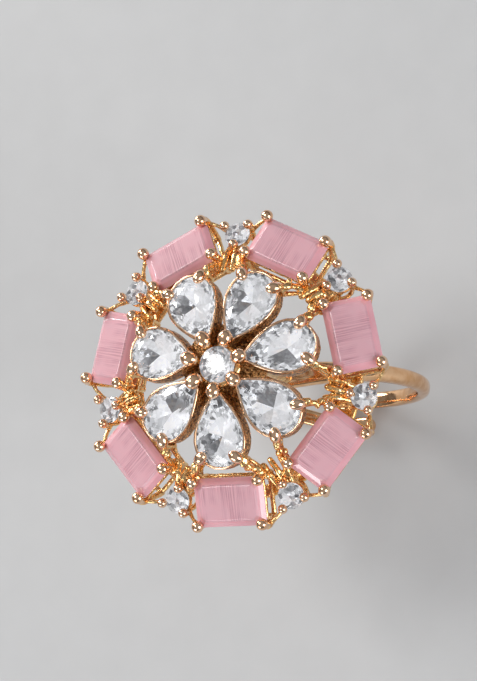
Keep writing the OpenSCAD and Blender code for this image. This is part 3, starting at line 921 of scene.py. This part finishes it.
def build_centre():
    """Collet of stacked rings and crossed rods, with seven claws over the round stone."""
    z = CENTRE_Z
    tubes = [loop(circle(0.62, z - depth, 32), 0.24) for depth in (1.15, 1.34)]
    for turn in (0, 60, 120):
        rod, crossing = turned((0.4, 0, 0), turn), lift(z - 1.5)
        tubes.append({"path": [(rod + crossing, 0.13), (crossing, 0.13), (crossing - rod, 0.13)]})
    tubes.append(loop(circle(1.55, z - 0.75, 56), 0.26))
    beads = []
    for k in range(FOLD):
        a = math.radians(-90 + STEP * k)
        u = Vector((math.cos(a), math.sin(a), 0))
        up = lift(z)
        tubes.append(wire(*[(up + u * out + lift(height), r) for out, height, r in CENTRE_CLAW]))
        beads.append((up + u * 1.66 + lift(0.42), up + u * 2.16 + lift(0.68), 0.62, 1.22))
    add_casting("centre_casting", tubes, HERE, "centre_setting", seed=5)
    add_beads("centre_beads", beads, HERE)
    gem = round_gem("centre_gem", CENTRE_D, CENTRE_D, seed=900, dark_mains=0, broken=0.3)
    add_clear_gem("centre_gem", gem, Matrix.Translation((0, 0, z * MM)), "centre_stone")


# ---------------------------------------------------------------- petals
def petal_claw(dist, z, side):
    a = math.radians(PETAL_CLAW_TURN)
    return Vector((PETAL_WIDEST + dist * math.cos(a), side * dist * math.sin(a), z))


def in_petal(p):
    return placed(p, PETAL_R, PETAL_Z, PETAL_SLOPE)


def build_cup(k):
    """Thin wall round a pear: polished rolled lip, rough cast side darkened with painted shade."""
    rings = []
    for i in range(144):
        s = CUT_STATIONS * i / 144
        base = pear_station(s)
        d = (pear_station(s + 0.12) - pear_station(s - 0.12)).normalized()
        ring = []
        for out, z in CUP_PROFILE:
            wall = base + Vector((-d.y, d.x)) * out
            w = in_petal(Vector((wall.x + PETAL_CULET, wall.y, z)))
            near = math.hypot(w.x, w.y)
            if near < CUP_CLEAR_R:
                w.x, w.y = w.x / near * CUP_CLEAR_R, w.y / near * CUP_CLEAR_R
            ring.append(w)
        rings.append(ring)
    bm = bmesh.new()
    add_loft(bm, rings, closed=True)
    lip = in_petal((0, 0, -0.14)).z - PETAL_Z
    mesh = mesh_from(bm, f"petal_cup_{k}")
    roughen(mesh, 0.02, 20 + k)
    slope = math.radians(PETAL_SLOPE)
    # faces below the lip take the recess gold, whose dark colour is painted shade
    for face in mesh.polygons:
        c = face.center
        depth = (c.z - PETAL_Z) * math.cos(slope) + (c.x - PETAL_R) * math.sin(slope)
        face.material_index = 0 if depth > lip else 1
    finish_piece(f"petal_cup_{k}", mesh, spoke(k), [POLISHED, RECESS], [])


def build_petal(k):
    """Two claws over the round end of a pear, with struts to the rim basket, and the stone."""
    tubes, beads = [], []
    for side in (-1, 1):
        foot = in_petal(petal_claw(2.42, -CUP_DEPTH + 0.1, side))
        mid = in_petal(petal_claw(2.5, -0.6, side))
        knee = in_petal(petal_claw(2.46, 0.3, side))
        tip = in_petal(petal_claw(2.1, 0.5, side))
        tubes.append(wire((foot, 0.27), (mid, 0.27), (knee, 0.3), (tip, 0.25)))
        post = in_rim((-RIM_A - 0.03, side * (RIM_B + 0.03), -0.5))
        run = post - knee
        sag = knee.lerp(post, 0.5) + Vector((0.12, 0, 0.18))
        tubes.append(wire((knee + lift(-0.1), 0.3), (sag, 0.24), (knee + run * 0.95, 0.27)))
        tubes += lumps([knee, sag, post], 6, 0.2, 0.31, 300 + 2 * k + side)
        low_start = in_petal(petal_claw(2.3, -1.05, side))
        low_end = in_rim((-1.95, side * 2.95, -1.5))
        low_mid = low_start.lerp(low_end, 0.5) + Vector((0, side * 0.12, 0.1))
        tubes.append(wire((low_start, 0.24), (low_mid, 0.2), (low_end, 0.24)))
        beads.append((in_petal(petal_claw(2.55, 0.3, side)),
                      in_petal(petal_claw(2.04, 0.52, side)), 0.48, 1.42))
    add_casting(f"petal_wires_{k}", tubes, spoke(k), f"petal_setting_{k}", seed=30 + k)
    add_beads(f"petal_beads_{k}", beads, spoke(k))
    gem = brilliant_mesh(f"petal_gem_{k}", pear_station, 0.5, 1.45, table=0.6, star=0.8,
                         lower=0.52, seed=910 + k, shaded=PEAR_SHADED[k - 1])
    where = spoke(k) @ seat(PETAL_R, PETAL_Z, PETAL_SLOPE) \
        @ Matrix.Translation((PETAL_CULET * MM, 0, 0))
    add_clear_gem(f"petal_gem_{k}", gem, where, f"petal_stone_{k}")


# ---------------------------------------------------------------- rim
def in_rim(p):
    return placed(p, RIM_R, RIM_Z, RIM_TILT)


def build_rim(k):
    """Basket of four claws and two rails, with its feet on the gallery, and the stone."""
    tubes, beads = [], []
    for sx in (-1, 1):
        for sy in (-1, 1):
            tubes.append(wire(*[(in_rim((sx * x, sy * y, z)), r) for x, y, z, r in RIM_CLAW]))
            beads.append((in_rim((sx * 2.04, sy * 3.04, 0.12)),
                          in_rim((sx * 1.8, sy * 2.8, 0.7)), 0.49, 1.05))
    tubes.append(loop([in_rim(p) for p in rounded_rectangle(1.72, 2.72, 0.25, -0.68)], 0.2))
    tubes.append(loop([in_rim(p) for p in rounded_rectangle(1.7, 2.7, 0.3, -2.4)], 0.23))
    foot = in_rim((-0.6, 2.7, -2.4))
    for sy in (-1, 1):
        tubes.append(wire(((foot.x, sy * foot.y, GALLERY_TOP - 0.15), 0.3),
                          ((foot.x, sy * foot.y, foot.z), 0.22)))
    add_casting(f"rim_basket_{k}", tubes, spoke(k), f"rim_setting_{k}", seed=50 + k)
    add_beads(f"rim_beads_{k}", beads, spoke(k))
    finish_piece(f"rim_gem_{k}", step_cut_mesh(f"rim_gem_{k}"),
                 spoke(k) @ seat(RIM_R, RIM_Z, RIM_TILT), [PINK],
                 [f"rim_stone_{k}"], smooth=False)


# ---------------------------------------------------------------- accents
def in_accent(p):
    return placed(p, ACCENT_R, ACCENT_Z, RIM_TILT)


def in_next_rim(p, side):
    """A point of the rim basket on one side of an accent, in the accent's spoke."""
    return turned(in_rim((p[0], -side * p[1], p[2])), side * STEP / 2)


def build_accent(k):
    """Three-claw collet between two rim baskets, its stem, inner rods and side wires."""
    tubes, beads = [], []
    for turn in (180, 60, -60):
        c, s = math.cos(math.radians(turn)), math.sin(math.radians(turn))
        tubes.append(wire(*[(in_accent((out * c, out * s, z)), r) for out, z, r in ACCENT_CLAW]))
        beads.append((in_accent((1.3 * c, 1.3 * s, 0.0)),
                      in_accent((1.19 * c, 1.19 * s, 0.47)), 0.4, 1.1))
    for r, z, w in ((0.9, -0.5, 0.18), (0.85, -2.0, 0.2)):
        tubes.append(loop([in_accent(p) for p in circle(r, z, 32)], w))
    tubes.append(wire(((GALLERY_R + 0.3, 0, GALLERY_TOP - 0.3), 0.3),
                      ((ACCENT_R - 1.0, 0, GALLERY_TOP - 0.25), 0.32),
                      (in_accent((-0.2, 0, -2.1)), 0.3)))
    draw = random.Random(700 + k)
    for y in (-0.55, 0.02, 0.58):
        begin = in_accent((-0.95 + draw.uniform(-0.1, 0.1), y, -0.35))
        end = Vector((8.45 + draw.uniform(-0.25, 0.25), y * 1.25 + draw.uniform(-0.12, 0.12),
                      15.6))
        hump = begin.lerp(end, 0.5) + Vector((0, draw.uniform(-0.1, 0.1),
                                              draw.uniform(0.1, 0.35)))
        tubes.append(wire((begin, 0.24), (hump, draw.uniform(0.25, 0.31)),
                          (end, draw.uniform(0.25, 0.33))))
    claw_turn = math.radians(60)
    for side in (-1, 1):
        start = in_accent((1.27 * math.cos(claw_turn), side * 1.27 * math.sin(claw_turn), -0.5))
        outer = in_next_rim((2.0, 3.0, -0.3), side)
        tubes.append(wire((start, 0.2), (start.lerp(outer, 0.5) + Vector((0.1, 0, 0.12)), 0.17),
                          (outer, 0.2)))
        inner = in_next_rim((-1.95, 2.98, -0.9), side)
        begin = in_accent((-1.15, side * 0.15, -0.7))
        middle = begin.lerp(inner, 0.5)
        tubes.append(wire((begin, 0.3), (middle + Vector((-0.12, 0, 0.12)), 0.27), (inner, 0.32)))
        tubes += lumps([begin, middle + lift(0.2), inner], 7, 0.28, 0.31, 500 + 2 * k + side)
        low = in_next_rim((-1.7, 2.85, -1.7), side)
        tubes.append(wire((in_accent((-0.9, side * 0.5, -1.6)), 0.28), (low, 0.26)))
    where = spoke(k, 1)
    add_casting(f"accent_collet_{k}", tubes, where, f"accent_setting_{k}", grain=0.07, seed=70 + k)
    add_beads(f"accent_beads_{k}", beads, where)
    gem = round_gem(f"accent_gem_{k}", ACCENT_D, ACCENT_GEM_D, seed=930 + k, shaded=2 * k,
                    dark_mains=1, broken=0.75)
    add_clear_gem(f"accent_gem_{k}", gem, where @ seat(ACCENT_R, ACCENT_Z, RIM_TILT),
                  f"accent_stone_{k}")


build_band()
build_plate()
build_gallery()
build_post(-POST_X, "post_left", "left_post", 11)
build_post(POST_X, "post_right", "right_post", 12)
build_centre()
for k in range(1, FOLD + 1):
    build_cup(k)
    build_petal(k)
    build_rim(k)
    build_accent(k)


# ---------------------------------------------------------------- studio, metres
HEAD_MIDDLE = Vector((0, 0, 0.014))
CAMERA_PLACE = (0.113618, -0.049519, 0.288612)
CAMERA_RIGHT = Vector((0.92478, 0.01232, -0.3803))
CAMERA_UP = Vector((0.0546, 0.98483, 0.16469))
LENS_MM, SENSOR_MM = 196.89, 36.0


def build_floor():
    """Pale floor under the band."""
    bm = bmesh.new()
    bmesh.ops.create_grid(bm, x_segments=8, y_segments=8, size=0.6)
    mesh = mesh_from(bm, "floor")
    mesh.transform(Matrix.Translation((0, 0, cad_low.z)))
    floor = put_in_scene("floor", mesh)
    material, tree, shader, place = new_material("pale floor")
    speck = node(tree, "ShaderNodeTexNoise", [(place, "Vector")], in_Scale=300.0, in_Detail=4.0)
    colour = blended(tree, speck.outputs["Fac"], (0.46, 0.46, 0.465), (0.50, 0.50, 0.505))
    tree.links.new(colour, shader.inputs["Base Color"])
    shader.inputs["Roughness"].default_value = 0.7
    mesh.materials.append(material)


def soft_box(name, toward, distance, size, power, tint=(1, 1, 1)):
    """Rectangular lamp that faces the head from a direction."""
    lamp = bpy.data.lights.new(name, "AREA")
    lamp.shape = "RECTANGLE"
    lamp.size, lamp.size_y = size
    lamp.energy = power
    lamp.color = tint
    holder = put_in_scene(name, lamp)
    way = Vector(toward).normalized()
    holder.location = HEAD_MIDDLE + way * distance
    holder.rotation_mode = "QUATERNION"
    holder.rotation_quaternion = way.to_track_quat("Z", "Y")


def build_studio():
    """Soft boxes over the head, in air that is bright above and dim towards the horizon."""
    world = bpy.data.worlds.new("studio air")
    world.use_nodes = True
    tree = world.node_tree
    way = node(tree, "ShaderNodeTexCoord")
    parts = node(tree, "ShaderNodeSeparateXYZ", [(way.outputs["Generated"], "Vector")])
    height = node(tree, "ShaderNodeMapRange",
                  [(parts.outputs["Z"], "Value")], in_From_Min=0.05, in_From_Max=0.75)
    air = blended(tree, height.outputs["Result"], (0.14, 0.14, 0.15), (0.36, 0.37, 0.38))
    tree.links.new(air, tree.nodes["Background"].inputs["Color"])
    bpy.context.scene.world = world
    soft_box("high_box", (-0.377, 0.173, 0.91), 0.36, (0.125, 0.125), 0.46, (1.0, 0.99, 0.97))
    soft_box("left_box", (-0.9, 0.75, 0.3), 0.34, (0.2, 0.09), 0.9, (1.0, 0.98, 0.95))
    soft_box("right_box", (0.95, -0.35, 0.4), 0.34, (0.18, 0.2), 0.7, (0.95, 0.98, 1.0))
    soft_box("front_strip", (-0.5, -0.9, 0.35), 0.34, (0.2, 0.1), 0.4)


def build_camera():
    lens = bpy.data.cameras.new("camera")
    lens.sensor_width, lens.lens = SENSOR_MM, LENS_MM
    lens.clip_start, lens.clip_end = 0.01, 5.0
    camera = put_in_scene("camera", lens)
    back = CAMERA_RIGHT.cross(CAMERA_UP).normalized()
    turn = Matrix((CAMERA_RIGHT, CAMERA_UP, back)).transposed().to_4x4()
    camera.matrix_world = Matrix.Translation(CAMERA_PLACE) @ turn
    bpy.context.scene.camera = camera


build_floor()
build_studio()
build_camera()
bpy.context.scene.view_settings.view_transform = "Standard"
